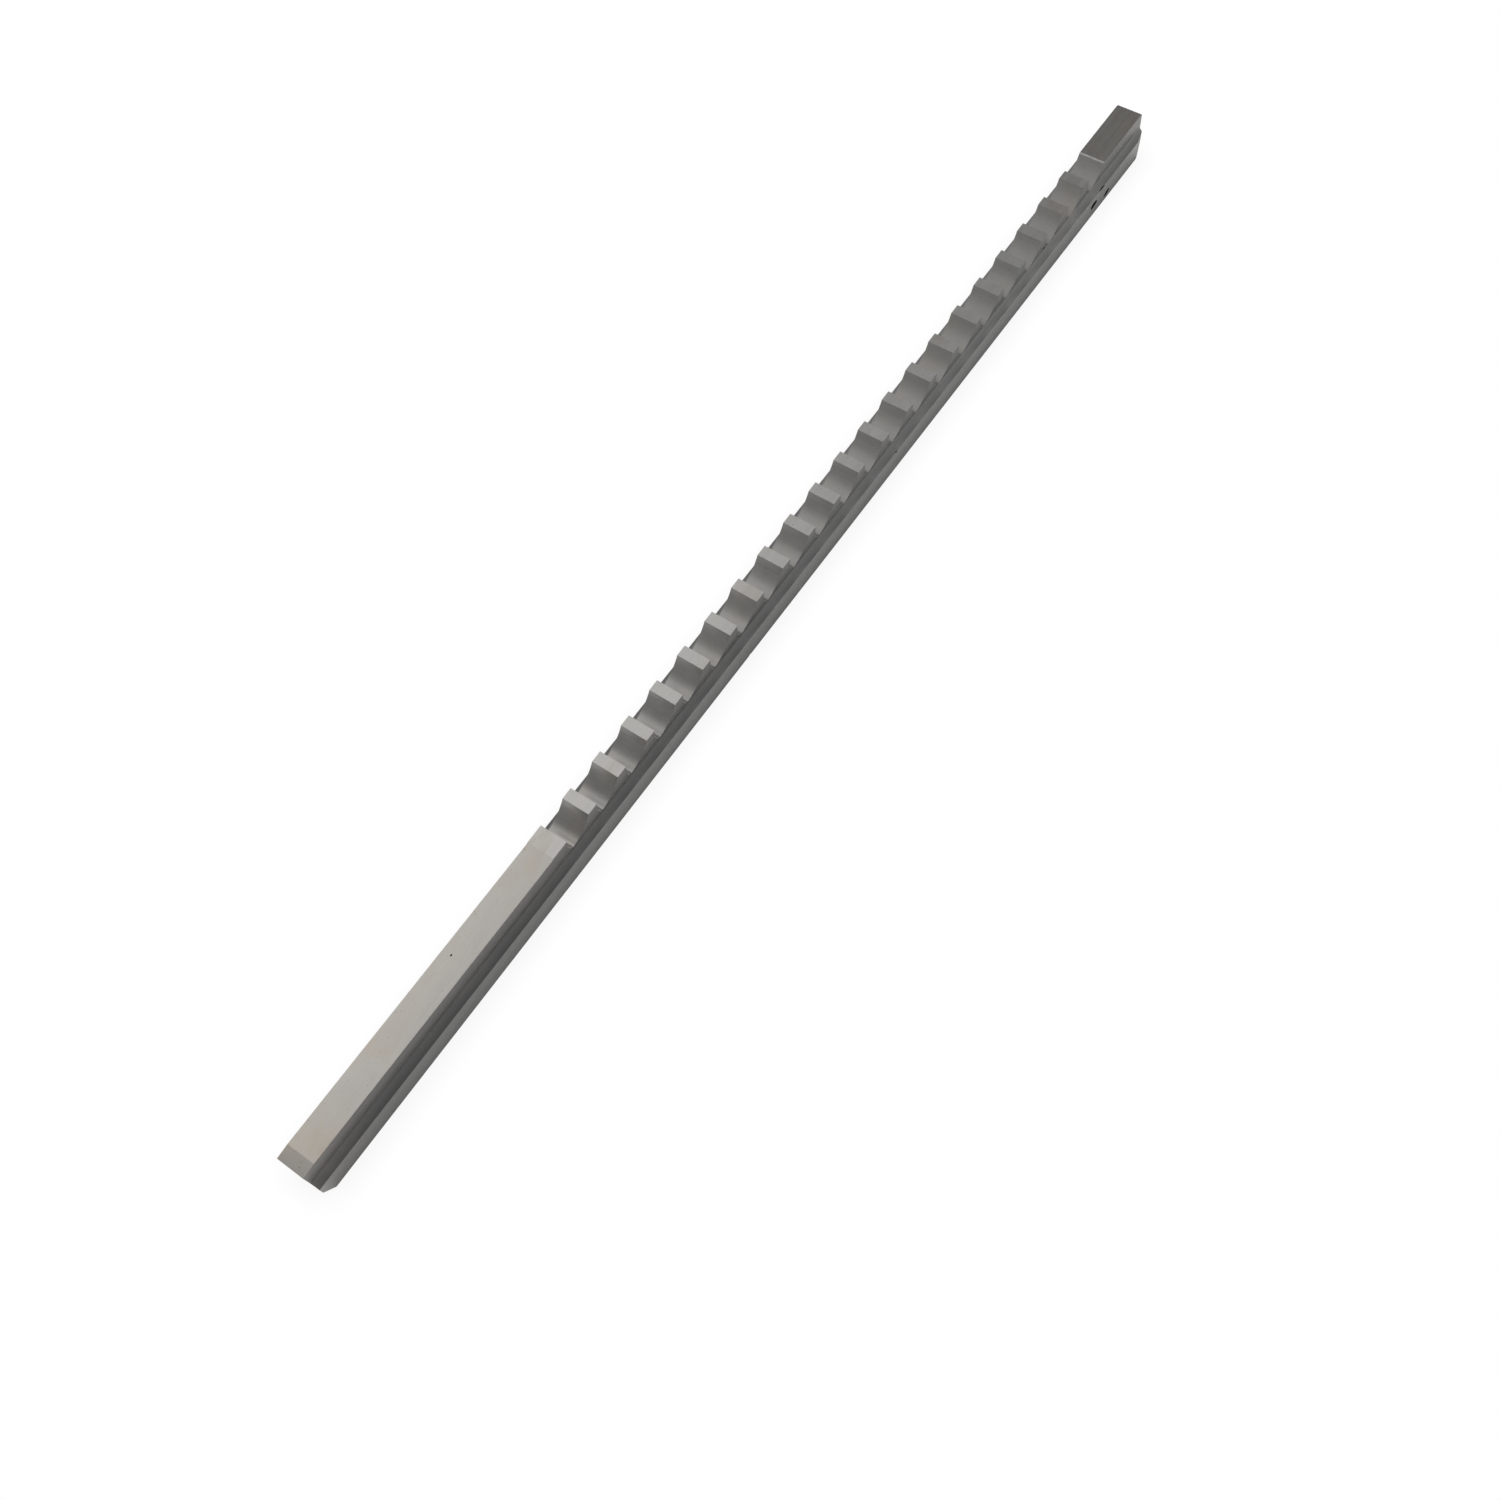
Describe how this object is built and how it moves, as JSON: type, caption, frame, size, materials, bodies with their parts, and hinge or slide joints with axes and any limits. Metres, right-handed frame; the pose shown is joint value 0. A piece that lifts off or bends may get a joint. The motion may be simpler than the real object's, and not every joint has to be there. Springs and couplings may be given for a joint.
{
  "type": "keyway broach",
  "caption": "Push broach for cutting a keyway in a bore: a wide guide body, a narrower blade with a row of rising cutting teeth, a plain shank and a plain pilot.",
  "frame": {"origin": "middle of the bar, on the flat back face", "axes": "+X along the bar from the push end to the pilot end, +Z from the back up to the teeth, +Y across"},
  "size_m": [0.2984, 0.0096, 0.0115],
  "materials": {
    "ground_tool_steel": "ground, satin"
  },
  "bodies": {
    "root": {"broach": "ground_tool_steel"}
  },
  "joints": []
}
